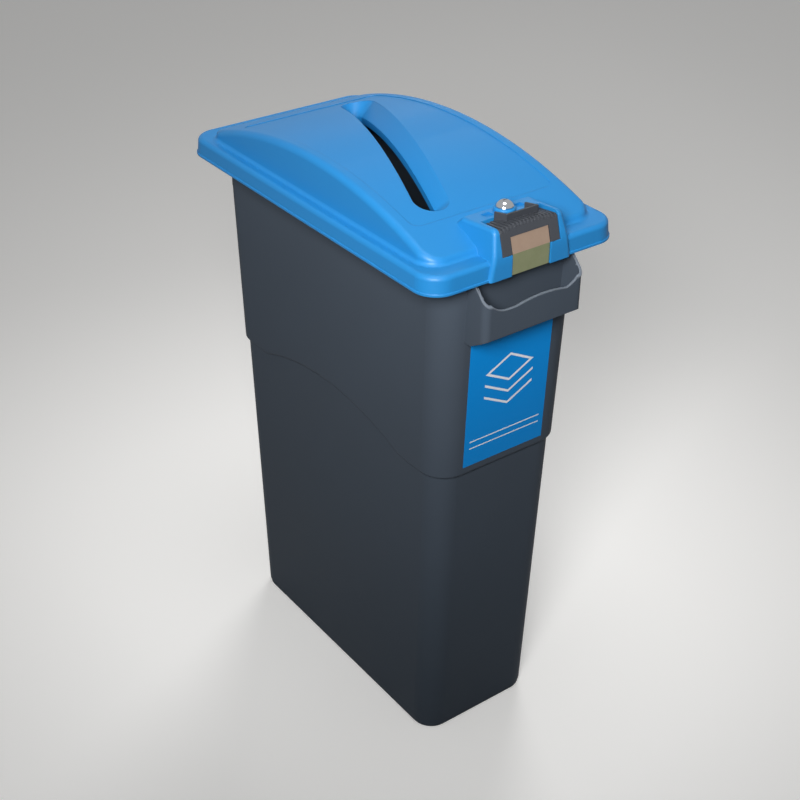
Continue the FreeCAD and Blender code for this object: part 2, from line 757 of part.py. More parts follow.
lock_bore = rod("lock_bore", "Z", "barrel_radius + barrel_fit", "boss_low - boss_thickness",
                f"boss_top + {ROOM}", "0", lock_y)
pivot_hole = rod("pivot_hole", "X", "pivot_radius + pivot_fit / 2", f"-pocket_half - lid_wall - {FINE}",
                 f"pocket_half + lid_wall + {FINE}", "-pivot_place", "pivot_level")
guide_front = "-(body_mouth_length / 2 + step_depth - body_wall - guide_gap)"
guide = box("guide", ("-guide_width / 2", "guide_width / 2"), (guide_front, f"{guide_front} + lid_wall"),
            ("ledge_under - guide_depth", "ledge_under + lid_wall / 2"))
panel = cut("panel", slab("panel_block", "panel_width", "panel_length", "panel_corner", "lid_ledge",
                          f"arch_crest + {ROOM}"), arch("panel_arch", "panel_depth"))

# Rear hinge: knuckles on the lid's skirt, either side of the bracket's arms

eye_low, eye_high = "hinge_level - knuckle_radius", "hinge_level + knuckle_radius"


def knuckle(name, inner):
    outer = f"{inner} + knuckle_width"
    root = box(f"{name}_root", (inner, outer), ("skirt_back - lip_proud - lid_wall", "hinge_place"),
               (eye_low, eye_high))
    eye = rod(f"{name}_eye", "X", "knuckle_radius", inner, outer, "hinge_place", "hinge_level")
    return fuse(name, root, eye)


arms = []
knuckles = []
notches = []
for side, centre in (("left", "-arm_place"), ("right", "arm_place")):
    span = (f"{centre} - arm_width / 2", f"{centre} + arm_width / 2")
    room = (f"{span[0]} - knuckle_gap", f"{span[1]} + knuckle_gap")
    arms.append(box(f"arm_{side}", span, ("bracket_front", "hinge_place"), (eye_low, eye_high)))
    arms.append(rod(f"arm_eye_{side}", "X", "knuckle_radius", *span, "hinge_place", "hinge_level"))
    knuckles.append(knuckle(f"knuckle_{side}_a", f"{room[0]} - knuckle_width"))
    knuckles.append(knuckle(f"knuckle_{side}_b", room[1]))
    notches.append(box(f"notch_{side}", room, ("bracket_face", f"hinge_place + {ROOM}"),
                       (f"lid_bottom - {ROOM}", f"{eye_high} + arm_gap")))
hinge_bore = rod("hinge_bore", "X", "hinge_radius + hinge_fit", "-bracket_width", "bracket_width",
                 "hinge_place", "hinge_level")
lid = cut("lid", fuse("lid_solid", lid_shell, boss, boss_rim, funnel_walls, guide, *knuckles),
          funnel_space, panel, pocket, window, strip_slot, *both_sides(relief, "relief"), lock_bore,
          pivot_hole, hinge_bore, *notches)

bracket_plate = box("bracket_plate", ("-bracket_width / 2", "bracket_width / 2"),
                    ("bracket_front", "bracket_face"), ("rim_low", "rim_low + bracket_height"))
bracket_holes = [
    rod(f"bracket_hole_{i}", "Y", "screw_radius + seat_gap", f"bracket_front - {FINE}",
        f"bracket_face + {FINE}", spot, "screw_level") for i, spot in enumerate(SCREW_PLACES)]
arm_bore = rod("arm_bore", "X", "hinge_radius + arm_fit", "-bracket_width", "bracket_width", "hinge_place",
               "hinge_level")
hinge_bracket = cut("hinge_bracket", fuse("bracket_solid", bracket_plate, *arms), arm_bore, *bracket_holes)
pin_half = "(arm_place + arm_width / 2 + knuckle_gap + knuckle_width)"
hinge_pin = rod("hinge_pin", "X", "hinge_radius", f"-{pin_half}", pin_half, "hinge_place", "hinge_level")
screws = []
head_low = "bracket_face + seat_gap"
for i, spot in enumerate(SCREW_PLACES):
    screws.append(rod(f"screw_shank_{i}", "Y", "screw_radius", "rim_edge - body_wall", head_low, spot,
                      "screw_level"))
    screws.append(rod(f"screw_head_{i}", "Y", "screw_head", head_low, f"{head_low} + screw_head_height", spot,
                      "screw_level"))
hinge_screws = fuse("hinge_screws", *screws)

# Latch: leaning front with two legs, thumb pad with ribs, guard wall, ears for the pin and a stop for the cam

stop_low = "cam_top + stop_play"


def front_at(level):
    """Place of the latch's leaning front at a level."""
    return f"latch_front + lean * ({level} - housing_bend)"


fall_way = Vector(0, 1, -value("pad_slope")).normalize()
fall_turn = Rotation(UP, fall_way)


def crown(name, sink):
    """The cylinder whose top is the pad's crown, sunk by a depth; it falls to the rear."""
    item = doc.addObject("Part::Cylinder", name)
    bind(item, Radius=f"crown_radius - ({sink})", Height=f"pad_back + {ROOM}")
    brow = Vector(0, value("pad_front"), value("pad_top"))
    up_way = Vector(0, -fall_way.z, fall_way.y)
    item.Placement = Placement(brow - up_way * value("crown_radius") - fall_way * ROOM, fall_turn)
    return item


hood_side = [(front_at("latch_low"), "latch_low"), ("pad_front", "pad_top"), ("-pad_back", "pad_top"),
             ("-pad_back", "pad_low"), (f"{front_at('pad_low')} + 2 * latch_wall", "pad_low"),
             (f"{front_at('latch_low')} + 2 * latch_wall", "latch_low")]
hood_block = common("hood_block", prism("hood_sharp", "YZ_Plane", hood_side, "-latch_half", "2 * latch_half"),
                    crown("hood_crown", "0"))


def hood_brow(edge):
    """The edge between the crown and the leaning front."""
    limits = edge.BoundBox
    across_front = limits.XLength > value("latch_half") and limits.YMax < value("pad_front + latch_edge")
    return across_front and limits.ZMax > value("pad_top - pad_crown")


def hood_edge(edge):
    """The outer edges of the hood's two ends, over the top and down the front."""
    limits = edge.BoundBox
    middle = limits.Center
    at_end = limits.XLength < FINE and abs(abs(middle.x) - value("latch_half")) < FINE
    behind = middle.y > value(f"{front_at('pad_low')} + latch_wall")
    under = behind and limits.ZMax < value("pad_top - pad_crown - pad_fall") - FINE
    upright_rear = limits.YLength < FINE
    return at_end and not under and not upright_rear and limits.ZMax > value("latch_low") + FINE


hood_rounded = filleted("hood_rounded", hood_block, "latch_brow", hood_brow)
hood = filleted("latch_hood", hood_rounded, "latch_edge", hood_edge)


def leaning(name, half, front, depth, low, high):
    """A slab parallel to the leaning front, set off from it by front."""
    side = [(f"{front_at(level)} + {shift}", level)
            for level, shift in ((low, front), (high, front), (high, depth), (low, depth))]
    return prism(name, "YZ_Plane", side, f"-({half})", f"2 * ({half})")


strip_window = leaning("strip_window", "strip_half", f"-{ROOM}", "latch_wall", "latch_low - latch_wall",
                       "plate_top + plate_gap / 2")
pad_hollow = common("pad_hollow",
                    leaning("pad_room", "latch_half + latch_wall", "2 * latch_wall", f"{ROOM}",
                            "latch_low - latch_wall", "pad_top"),
                    crown("pad_under_crown", "pad_thickness"))
guard_slant = "guard_flare * guard_wall / guard_lead"
guard_face = [("-guard_left - guard_flare", "-pad_back"), ("-guard_left", "-guard_front"),
              ("guard_right", "-guard_front"), ("guard_right - guard_flare", "-pad_back")]
guard_back = [("guard_right - guard_flare - guard_wall", "-pad_back"),
              (f"guard_right - guard_wall - {guard_slant}", "-guard_front + guard_wall"),
              (f"-guard_left + guard_wall - {guard_slant}", "-guard_front + guard_wall"),
              ("-guard_left - guard_flare + guard_wall", "-pad_back")]
guard_low = "pad_top - pad_fall - pad_thickness"
guard = prism("guard", "XY_Plane", guard_face + guard_back, guard_low, f"guard_top - ({guard_low})")


def ear(name, sign):
    near, far = sorted((f"{sign} * ear_place", f"{sign} * (ear_place + ear_width)"), key=value)
    return fuse(name, rod(f"{name}_eye", "X", "ear_radius", near, far, "-pivot_place", "pivot_level"),
                box(f"{name}_root", (near, far), ("latch_front + housing_lean + latch_wall", "-pivot_place"),
                    ("pivot_level - ear_radius", "pad_top - pad_crown - pad_thickness / 2")))


cam_reach = f"{lock_y} - cam_length"
stop = box("cam_stop", ("-stop_width / 2", "stop_width / 2"), (cam_reach, f"{cam_reach} + latch_wall"),
           (stop_low, "pad_top - pad_fall"))
slots = []
for i in range(SIZES["rib_count"]):
    middle = f"{i - (SIZES['rib_count'] - 1) / 2} * rib_pitch"
    sides = (f"{middle} - groove_width / 2", f"{middle} + groove_width / 2")
    left_of_guard = value(sides[1]) < value("-guard_left - guard_flare")
    right_of_guard = value(sides[0]) > value("guard_right")
    rear = "-pad_back" if left_of_guard or right_of_guard else "-guard_front"
    slots.append(box(f"groove_slot_{i}", sides, (f"-housing_front - {ROOM}", rear),
                     ("latch_low", f"pad_top + {ROOM}")))
groove_floor = common("groove_floor",
                      leaning("groove_back", "latch_half", "groove_bite", f"{ROOM}", "latch_low", "pad_top"),
                      crown("groove_crown", "groove_depth"))
grooves = cut("grooves", fuse("groove_slots", *slots), groove_floor, crown("groove_end", "groove_drop"))
pad_notch = rod("pad_notch", "Z", "boss_radius + boss_play", f"pad_low - {FINE}", f"guard_top + {ROOM}",
                "0", lock_y)
ear_bore = rod("ear_bore", "X", "pivot_radius + pivot_fit", "-latch_half", "latch_half", "-pivot_place",
               "pivot_level")

# Steel strip: leaning upper half on the latch, upright lower half and a hook under the rim

strip_front = "latch_front + latch_wall - plate_thickness * sqrt(1 + lean^2) - seat_gap"
strip_rear = "latch_front + latch_wall - seat_gap"
hook_top = "rim_low - hook_play"
hook_low = f"{hook_top} - plate_thickness"
hook_tip = "-rim_edge - hook_gap"
strip_lean = "lean * (plate_top - housing_bend)"
strip_side = [(strip_front, hook_low), (strip_front, "housing_bend"),
              (f"{strip_front} + {strip_lean}", "plate_top"),
              (f"{strip_rear} + {strip_lean}", "plate_top"), (strip_rear, "housing_bend"),
              (strip_rear, hook_top), (hook_tip, hook_top), (hook_tip, hook_low)]
strip = prism("strip", "YZ_Plane", strip_side, "-plate_width / 2", "plate_width")

lean_normal = Vector(0, 1, -value("lean")).normalize()
lean_turn = Rotation(UP, lean_normal)


def stud(name, sign, radius, start, length):
    """A pin square to the leaning web, counted from the web's front face."""
    item = doc.addObject("Part::Cylinder", name)
    bind(item, Radius=radius, Height=length)
    web_front = value(f"{front_at('rivet_level')} + latch_wall")
    spot = Vector(float(sign) * value("rivet_spacing / 2"), web_front, value("rivet_level"))
    item.Placement = Placement(spot + lean_normal * value(start), lean_turn)
    return item


web = "latch_wall / sqrt(1 + lean^2)"
stud_start = "-plate_thickness / 2"
stud_holes = both_sides(stud, "stud_hole", "rivet_radius + seat_gap", f"{stud_start} - seat_gap",
                        f"plate_thickness / 2 + {web} + seat_gap * 2")
hasp_plate = cut("hasp_plate", strip, *stud_holes)
front_latch = cut("front_latch", fuse("latch_solid", cut("hollow_hood", hood, pad_hollow), guard, stop,
                                      *both_sides(ear, "ear")),
                  strip_window, pad_notch, ear_bore, grooves, *stud_holes)
shanks = both_sides(stud, "shank", "rivet_radius", stud_start, f"plate_thickness / 2 + {web} + seat_gap")
heads = both_sides(stud, "rivet_head_part", "rivet_head", f"{web} + seat_gap", "rivet_head_height")
hasp_rivets = fuse("hasp_rivets", *shanks, *heads)

latch_pivot_pin = rod("latch_pivot_pin", "X", "pivot_radius", "-pocket_half - lid_wall",
                      "pocket_half + lid_wall", "-pivot_place", "pivot_level")

# Torsion spring, closed wound: a coil on the pin with one leg under the pad and one behind the web

spring_end = "spring_place + spring_length"
coil = cut("coil", rod("coil_outer", "X", "spring_radius", "spring_place", spring_end, "-pivot_place",
                       "pivot_level"),
           rod("coil_bore", "X", "spring_radius - spring_wire", f"spring_place - {FINE}",
               f"{spring_end} + {FINE}", "-pivot_place", "pivot_level"))
leg_offset = "spring_radius - spring_wire / 2"
latch_spring = fuse(
    "latch_spring", coil,
    rod("pad_leg", "Y", "spring_wire / 2", "-pivot_place", "-pivot_place + spring_leg",
        "spring_place + spring_wire / 2", f"pivot_level + {leg_offset}"),
    rod("web_leg", "Z", "spring_wire / 2", "pivot_level - spring_leg", "pivot_level",
        f"{spring_end} - spring_wire / 2", f"-pivot_place - ({leg_offset})"))

# Lock: sleeve clamped in the boss, domed plug with its key slot, cam and screw below


def lock_rod(name, radius, low, high):
    """A cylinder on the lock's axis."""
    return rod(name, "Z", radius, low, high, "0", lock_y)


lock_barrel = cut(
    "lock_barrel",
    fuse("barrel_solid", lock_rod("barrel_tube", "barrel_radius", "barrel_low", "boss_top"),
         lock_rod("barrel_collar", "barrel_flange", "boss_top", "boss_top + flange_thickness")),
    lock_rod("barrel_bore", "plug_radius + barrel_fit", f"barrel_low - {FINE}", f"boss_top + {ROOM}"))
washer_low = "boss_low - washer_thickness"
clamp_bore = ("barrel_radius + barrel_fit", f"boss_low - {ROOM}", f"boss_low + {ROOM}")
lock_washer = cut("lock_washer", lock_rod("washer_disc", "washer_radius", washer_low, "boss_low"),
                  lock_rod("washer_bore", *clamp_bore))
nut_body = doc.addObject("Part::Prism", "nut_body")
nut_body.Polygon = 6
bind(nut_body, Circumradius="nut_flats / sqrt(3)", Height="nut_thickness")
place(nut_body, "0", lock_y, f"{washer_low} - nut_thickness")
lock_nut = cut("lock_nut", nut_body, lock_rod("nut_bore", *clamp_bore))

dome_low = "boss_top + flange_thickness + cam_gap"
dome_top = f"{dome_low} + dome_height"
dome_sphere_radius = "(dome_radius^2 + dome_height^2) / (2 * dome_height)"
dome_ball = doc.addObject("Part::Sphere", "dome_ball")
bind(dome_ball, Radius=dome_sphere_radius)
place(dome_ball, "0", lock_y, f"{dome_top} - {dome_sphere_radius}")
dome_room = lock_rod("dome_room", f"dome_radius + {ROOM}", dome_low, f"{dome_low} + {ROOM}")
dome = common("dome", dome_ball, dome_room)
key_slot = box("key_slot", ("-key_length / 2", "key_length / 2"),
               (f"{lock_y} - key_width / 2", f"{lock_y} + key_width / 2"),
               (f"{dome_top} - key_depth", f"{dome_top} + {ROOM}"))
plug_thread = lock_rod("plug_thread", "cam_screw_radius + barrel_fit", "cam_low",
                       "cam_low + cam_screw_length + cam_play")
lock_plug = cut(
    "lock_plug",
    fuse("plug_solid", dome, lock_rod("plug_shaft", "plug_radius", "cam_top", dome_low),
         lock_rod("plug_end", "cam_hole", "cam_low", "cam_top")),
    key_slot, plug_thread)
cam_half = "cam_width / 2"
lock_cam = cut(
    "lock_cam",
    fuse("cam_solid", lock_rod("cam_hub", cam_half, "cam_low", "cam_top"),
         box("cam_lever", ("0", "cam_length"), (f"{lock_y} - {cam_half}", f"{lock_y} + {cam_half}"),
             ("cam_low", "cam_top"))),
    lock_rod("cam_bore", "cam_hole + barrel_fit", f"cam_low - {ROOM}", f"cam_low + {ROOM}"))
cam_screw = fuse(
    "cam_screw", lock_rod("cam_screw_shank", "cam_screw_radius", "cam_low", "cam_low + cam_screw_length"),
    lock_rod("cam_screw_head_part", "cam_screw_head", "cam_low - cam_screw_cap", "cam_low"))

# Checks and files

doc.recompute()
for item in doc.Objects:
    if "Invalid" in item.State or "Error" in item.State:
        raise RuntimeError(f"{item.Name} failed: {item.State}")

nodes = {
    "bin_body": bin_body, "front_label": front_label, "hinge_bracket": hinge_bracket, "hinge_pin": hinge_pin,
    "hinge_screws": hinge_screws, "lid": lid, "latch_pivot_pin": latch_pivot_pin, "lock_barrel": lock_barrel,
    "lock_washer": lock_washer, "lock_nut": lock_nut, "front_latch": front_latch, "hasp_plate": hasp_plate,
    "hasp_rivets": hasp_rivets, "latch_spring": latch_spring, "lock_plug": lock_plug, "lock_cam": lock_cam,
    "cam_screw": cam_screw,
}
os.makedirs("parts", exist_ok=True)
for node, item in nodes.items():
    item.Label = node
    shape = item.Shape
    if shape.isNull() or not shape.isValid():
        raise RuntimeError(f"{node} has no valid solid")
    shape.exportStep(f"parts/{node}.step")
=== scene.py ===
import math

import bpy
from mathutils import Matrix, Vector


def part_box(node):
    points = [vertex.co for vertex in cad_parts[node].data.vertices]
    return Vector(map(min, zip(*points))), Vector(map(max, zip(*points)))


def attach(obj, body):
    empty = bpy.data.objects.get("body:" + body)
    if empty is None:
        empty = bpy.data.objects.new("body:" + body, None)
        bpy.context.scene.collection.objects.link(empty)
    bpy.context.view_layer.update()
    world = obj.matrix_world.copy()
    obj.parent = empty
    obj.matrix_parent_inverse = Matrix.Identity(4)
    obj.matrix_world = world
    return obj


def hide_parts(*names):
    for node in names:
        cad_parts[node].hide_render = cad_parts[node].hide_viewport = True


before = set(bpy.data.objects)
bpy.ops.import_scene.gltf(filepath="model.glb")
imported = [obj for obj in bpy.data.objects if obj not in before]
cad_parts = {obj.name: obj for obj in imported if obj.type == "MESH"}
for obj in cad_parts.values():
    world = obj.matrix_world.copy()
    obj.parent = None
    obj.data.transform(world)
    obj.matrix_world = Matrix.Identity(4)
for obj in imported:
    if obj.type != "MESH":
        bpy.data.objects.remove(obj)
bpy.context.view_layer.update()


# Body: one injection moulding in dark grey polypropylene, with the handles, the rim and the foot.
# Its mould was spark eroded, so the whole surface has a fine matt grain that spreads the light softly.
# The real grain is about 0.4 mm; it is drawn at 1.1 mm so that it shows.

MM_PER_M = 1000
GLOSS_SPREAD = 0.05
EDGE_SAMPLES = 4


def linear(colour):
    """An sRGB hex colour as linear red, green, blue and alpha."""
    parts = [int(colour[i:i + 2], 16) / 255 for i in (0, 2, 4)]
    return [part / 12.92 if part <= 0.04045 else ((part + 0.055) / 1.055) ** 2.4 for part in parts] + [1.0]


def add_node(holder, kind, settings=None, links=None):
    """Adds a node to a material or world, sets its properties and sockets, and links its sockets."""
    node = holder.node_tree.nodes.new(kind)
    for name, value in (settings or {}).items():
        if isinstance(name, int) or name in node.inputs:
            node.inputs[name].default_value = value
        else:
            setattr(node, name, value)
    for name, source in (links or {}).items():
        holder.node_tree.links.new(source, node.inputs[name])
    return node


def drive(shader, **sources):
    """Links sources to a shader's sockets."""
    for socket, source in sources.items():
        shader.id_data.links.new(source, shader.inputs[socket.replace("_", " ")])


def noise(material, place, scale, detail, roughness=0.5):
    """A cloudy pattern from nought to one."""
    settings = {"Scale": scale, "Detail": detail, "Roughness": roughness}
    return add_node(material, "ShaderNodeTexNoise", settings, {"Vector": place}).outputs["Fac"]


def blend(material, share, first, second):
    """A colour between two, by a share of the second."""
    settings = {"data_type": "RGBA", 6: linear(first), 7: linear(second)}
    return add_node(material, "ShaderNodeMix", settings, {0: share}).outputs[2]


def between(holder, share, low, high):
    """A value between two, by a share of the higher."""
    settings = {"To Min": low, "To Max": high}
    return add_node(holder, "ShaderNodeMapRange", settings, {"Value": share}).outputs["Result"]


def new_finish(name, base, **shader_settings):
    """A material with its shader, and the coordinates that its patterns read."""
    material = bpy.data.materials.new(name)
    material.use_nodes = True
    material.node_tree.nodes.clear()
    settings = {socket.replace("_", " "): value for socket, value in shader_settings.items()}
    shader = add_node(material, "ShaderNodeBsdfPrincipled", {"Base Color": linear(base), **settings})
    add_node(material, "ShaderNodeOutputMaterial", links={"Surface": shader.outputs["BSDF"]})
    place = add_node(material, "ShaderNodeTexCoord").outputs["Object"]
    return material, shader, place


def moulded_plastic(name, dark, light, grain_mm, grain_height_mm, edge_mm, patch_mm, **shader_settings):
    """A moulded plastic: fine grain, faint patches of tone and gloss, and edges that the mould rounds."""
    material, shader, place = new_finish(name, dark, **shader_settings)
    roughness = shader_settings["Roughness"]
    patches = noise(material, place, MM_PER_M / patch_mm, detail=3.0, roughness=0.6)
    grain = noise(material, place, MM_PER_M / grain_mm, detail=2.0)
    edge = add_node(material, "ShaderNodeBevel", {"samples": EDGE_SAMPLES, "Radius": edge_mm / MM_PER_M})
    bump = add_node(material, "ShaderNodeBump", {"Strength": 1.0, "Distance": grain_height_mm / MM_PER_M},
                    {"Height": grain, "Normal": edge.outputs["Normal"]})
    drive(shader, Base_Color=blend(material, patches, dark, light),
          Roughness=between(material, patches, roughness - GLOSS_SPREAD, roughness + GLOSS_SPREAD),
          Normal=bump.outputs["Normal"])
    return material


def dress(node, material):
    """Gives a node of the frame its finish."""
    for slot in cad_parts[node].material_slots:
        slot.material = material


body_plastic = moulded_plastic("spark_textured_polypropylene", "424a54", "48515c", grain_mm=1.1,
                               grain_height_mm=0.05, edge_mm=0.8, patch_mm=160,
                               Roughness=0.55, IOR=1.49, Specular_IOR_Level=0.06)
dress("bin_body", body_plastic)


# Lid: one moulding in blue polypropylene with a satin face, arched over the bin and open along the slot.
# The funnel, the latch housing and the lock boss belong to the same moulding.

lid_plastic = moulded_plastic("satin_blue_polypropylene", "1c78b7", "207dbb", grain_mm=0.9,
                              grain_height_mm=0.03, edge_mm=1.2, patch_mm=220,
                              Roughness=0.44, IOR=1.49, Specular_IOR_Level=0.4)
dress("lid", lid_plastic)


# Latch: a small moulding in dark grey nylon with a ribbed thumb pad, hung on a steel pin in the lid's pocket.
# Its grain is finer than the body's and its edges are sharper.

latch_plastic = moulded_plastic("satin_grey_nylon", "383b41", "3e4147", grain_mm=0.7,
                                grain_height_mm=0.03, edge_mm=0.5, patch_mm=40,
                                Roughness=0.42, IOR=1.53, Specular_IOR_Level=0.35)
dress("front_latch", latch_plastic)


# Steel strip: rolled steel, zinc plated and yellow passivated, bent once and riveted to the latch.
# Its film has a faint uneven tone; the olive below the bend and the rosy above it are painted reflection,
# since the two halves lean differently to the light.

BEND_LEVEL = 0.755
FILM_SCALE = 90.0
ROLLING_MM, ROLLING_STRETCH, ROLLING_HEIGHT = 0.35, 40.0, 0.00002
STRIP_EDGE = 0.0004
strip_steel, strip_shader, strip_place = new_finish("yellow_passivated_steel", "8a8458", Metallic=0.85,
                                                    Roughness=0.42)
levels = add_node(strip_steel, "ShaderNodeSeparateXYZ", links={"Vector": strip_place})
# Painted reflection: the strip is coloured rosy above the bend and olive below it.
above = add_node(strip_steel, "ShaderNodeMath", {"operation": "GREATER_THAN", 1: BEND_LEVEL},
                 {0: levels.outputs["Z"]})
film = noise(strip_steel, strip_place, FILM_SCALE, detail=4.0)
olive = blend(strip_steel, film, "9ba27c", "abaf8a")
rosy = blend(strip_steel, film, "bb9f8b", "c7ad99")
both = add_node(strip_steel, "ShaderNodeMix", {"data_type": "RGBA"},
                {0: above.outputs["Value"], 6: olive, 7: rosy})
rolling_scale = (MM_PER_M / ROLLING_MM, ROLLING_STRETCH, ROLLING_STRETCH)
lines = add_node(strip_steel, "ShaderNodeMapping", {"Scale": rolling_scale}, {"Vector": strip_place})
rolling = noise(strip_steel, lines.outputs["Vector"], 1.0, detail=2.0)
strip_edge = add_node(strip_steel, "ShaderNodeBevel", {"samples": EDGE_SAMPLES, "Radius": STRIP_EDGE})
strip_bump = add_node(strip_steel, "ShaderNodeBump", {"Strength": 0.5, "Distance": ROLLING_HEIGHT},
                      {"Height": rolling, "Normal": strip_edge.outputs["Normal"]})
drive(strip_shader, Base_Color=both.outputs[2], Normal=strip_bump.outputs["Normal"])
dress("hasp_plate", strip_steel)


# Steel pins, bracket, rivets, cam and lock nut: turned or pressed steel with bright zinc plating.
# Plating leaves a slightly cloudy, silvery face.

CLOUD_SCALE = 220.0
zinc_steel, zinc_shader, zinc_place = new_finish("bright_zinc_plated_steel", "b9bcc0", Metallic=1.0,
                                                 Roughness=0.35)
clouds = noise(zinc_steel, zinc_place, CLOUD_SCALE, detail=5.0, roughness=0.6)
drive(zinc_shader, Base_Color=blend(zinc_steel, clouds, "a6a9ad", "c6c8cb"),
      Roughness=between(zinc_steel, clouds, 0.25, 0.45))
for steel_node in ("hinge_bracket", "hinge_pin", "latch_pivot_pin", "lock_washer", "lock_nut", "hasp_rivets",
                   "lock_cam", "cam_screw"):
    dress(steel_node, zinc_steel)


# Lock: a chromed die casting, whose domed plug turns in a sleeve that is clamped in the boss.
# Polished chrome is nearly a mirror, with faint handling marks.

MARK_SCALE = 900.0
chrome, chrome_shader, chrome_place = new_finish("polished_chrome", "c3c5c8", Metallic=1.0, Roughness=0.12)
marks = noise(chrome, chrome_place, MARK_SCALE, detail=4.0)
drive(chrome_shader, Roughness=between(chrome, marks, 0.05, 0.22))
dress("lock_barrel", chrome)
dress("lock_plug", chrome)


# Handle lips: the free edge of each handle is moulded as a round bead that is soft in the hand.
# Its paler tone is painted highlight, for the light that the bead's upturned top catches, and it is smoother
# than the grained walls.

LIP_HEIGHT, LIP_GRID = 0.0018, 0.0004
LIP_LOW, LIP_HIGH = 0.690, 0.7255
LIP_LEAST_RISE = 0.3
LIP_SOFTENING = 8
WALL_FACE, HANDLE_FACE = 0.2535, 0.284
WELD = 0.00001


def finished(piece, body, slot, material, *nodes):
    """Applies a piece's placing, gives it its finish, hangs it on the body that it rides on, and hides the
    frame nodes that it replaces.
    """
    bpy.ops.object.select_all(action="DESELECT")
    piece.select_set(True)
    bpy.context.view_layer.objects.active = piece
    bpy.ops.object.transform_apply(location=True, rotation=True, scale=True)
    piece.data.materials.clear()
    piece.data.materials.append(material)
    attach(piece, body)
    if nodes:
        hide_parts(*nodes)


def pick(piece, kind, wanted):
    """Selects the wanted polygons, edges or vertices of the active piece, in edit mode."""
    bpy.ops.object.mode_set(mode="EDIT")
    bpy.ops.mesh.select_all(action="DESELECT")
    bpy.ops.object.mode_set(mode="OBJECT")
    for element in getattr(piece.data, kind):
        element.select = wanted(element)
    bpy.ops.object.mode_set(mode="EDIT")


def off_the_lips(face):
    """Tells whether a face of the body isn't on the top edge of a handle."""
    on_handle = abs(face.center.y) > WALL_FACE and LIP_LOW < face.center.z < LIP_HIGH
    return not (on_handle and face.normal.z > LIP_LEAST_RISE)


def apply_modifier(piece, kind, **settings):
    """Adds a modifier to the active piece and applies it."""
    modifier = piece.modifiers.new(kind.lower(), kind)
    for name, value in settings.items():
        setattr(modifier, name, value)
    bpy.ops.object.modifier_apply(modifier=modifier.name)


# The pale lip colour is painted highlight on the bead's upturned faces.
lip_painted_highlight = new_finish("lip_polypropylene_painted_highlight", "68707a", Roughness=0.4, IOR=1.49,
                         Specular_IOR_Level=0.3)[0]
lips = bpy.data.objects.new("handle_lips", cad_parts["bin_body"].data.copy())
bpy.context.collection.objects.link(lips)
bpy.ops.object.select_all(action="DESELECT")
lips.select_set(True)
bpy.context.view_layer.objects.active = lips
bpy.ops.object.mode_set(mode="EDIT")
bpy.ops.mesh.select_all(action="SELECT")
bpy.ops.mesh.remove_doubles(threshold=WELD)
bpy.ops.mesh.select_mode(type="FACE")
pick(lips, "polygons", off_the_lips)
bpy.ops.mesh.delete(type="FACE")
bpy.ops.mesh.select_mode(type="VERT")
bpy.ops.object.mode_set(mode="OBJECT")
apply_modifier(lips, "SOLIDIFY", thickness=LIP_HEIGHT, offset=1.0)
apply_modifier(lips, "REMESH", mode="VOXEL", voxel_size=LIP_GRID)
apply_modifier(lips, "SMOOTH", factor=0.5, iterations=LIP_SOFTENING)
for vertex in lips.data.vertices:
    vertex.co.y = max(-HANDLE_FACE, min(HANDLE_FACE, vertex.co.y))
finished(lips, "bin", "body_plastic", lip_painted_highlight)
bpy.ops.object.shade_smooth()


# Torsion spring: close turns of zinc plated spring wire round the latch pin.
# Its two legs bear on the thumb pad and behind the web, inside the pocket, and aren't drawn.

WIRE, WIRE_SIDES = 0.0012, 10
COIL_START, COIL_END = 0.0146, 0.0234
COIL_TURNS, STEPS_PER_TURN = 7, 24
COIL_RADIUS = 0.0035
PIN_Y, PIN_Z = -0.254, 0.7765
bpy.ops.mesh.primitive_circle_add(vertices=WIRE_SIDES, radius=WIRE / 2, rotation=(math.pi / 2, 0, 0),
                                  location=(COIL_START, PIN_Y, PIN_Z + COIL_RADIUS))
spring = bpy.context.object
spring.name = "latch_spring_wire"
bpy.ops.object.transform_apply(location=True, rotation=True, scale=True)
pin_axis = bpy.data.objects.new("pin_axis", None)
bpy.context.collection.objects.link(pin_axis)
pin_axis.location = (COIL_START, PIN_Y, PIN_Z)
apply_modifier(spring, "SCREW", axis="X", object=pin_axis, angle=2 * math.pi * COIL_TURNS,
               screw_offset=COIL_END - COIL_START, steps=STEPS_PER_TURN * COIL_TURNS,
               render_steps=STEPS_PER_TURN * COIL_TURNS, use_merge_vertices=False)
bpy.data.objects.remove(pin_axis)
finished(spring, "latch", "zinc_steel", zinc_steel, "latch_spring")
bpy.ops.object.shade_smooth()


# Label: a printed film sticker on the front wall, blue with a white print and a semi-gloss laminate.
# The print is a plain stack of sheets over two rules.

LABEL_LOW, LABEL_FACE = 0.458, -0.240654
WALL_RUN_MM, WALL_RISE_MM = 28.5, 739.5
INK = 0.00004
PEEL_SCALE, PEEL_HEIGHT = 400.0, 0.00003
SPECKLE_SCALE = 1500.0
SHEET_WIDTH, SHEET_HEIGHT, STROKE = 0.076, 0.040, 0.0030
UPRIGHT_STROKE = STROKE / math.cos(math.atan2(SHEET_HEIGHT, SHEET_WIDTH))
STACK_LEVEL, STACK_STEP = 0.128, 0.017
RULE_LEVELS = (0.026, 0.036)
RULE_WIDTH, RULE_HEIGHT = 0.112, 0.0016
label_film, label_shader, label_place = new_finish("laminated_label_film", "0688d8", Roughness=0.4, IOR=1.5,
                                                   Specular_IOR_Level=0.12)
label_bump = add_node(label_film, "ShaderNodeBump", {"Strength": 0.3, "Distance": PEEL_HEIGHT},
                      {"Height": noise(label_film, label_place, PEEL_SCALE, detail=2.0)})
drive(label_shader, Normal=label_bump.outputs["Normal"])
dress("front_label", label_film)
ink, ink_shader, ink_place = new_finish("white_screen_ink", "e8ecf0", Roughness=0.35, IOR=1.5)
speckle = noise(ink, ink_place, SPECKLE_SCALE, detail=2.0)
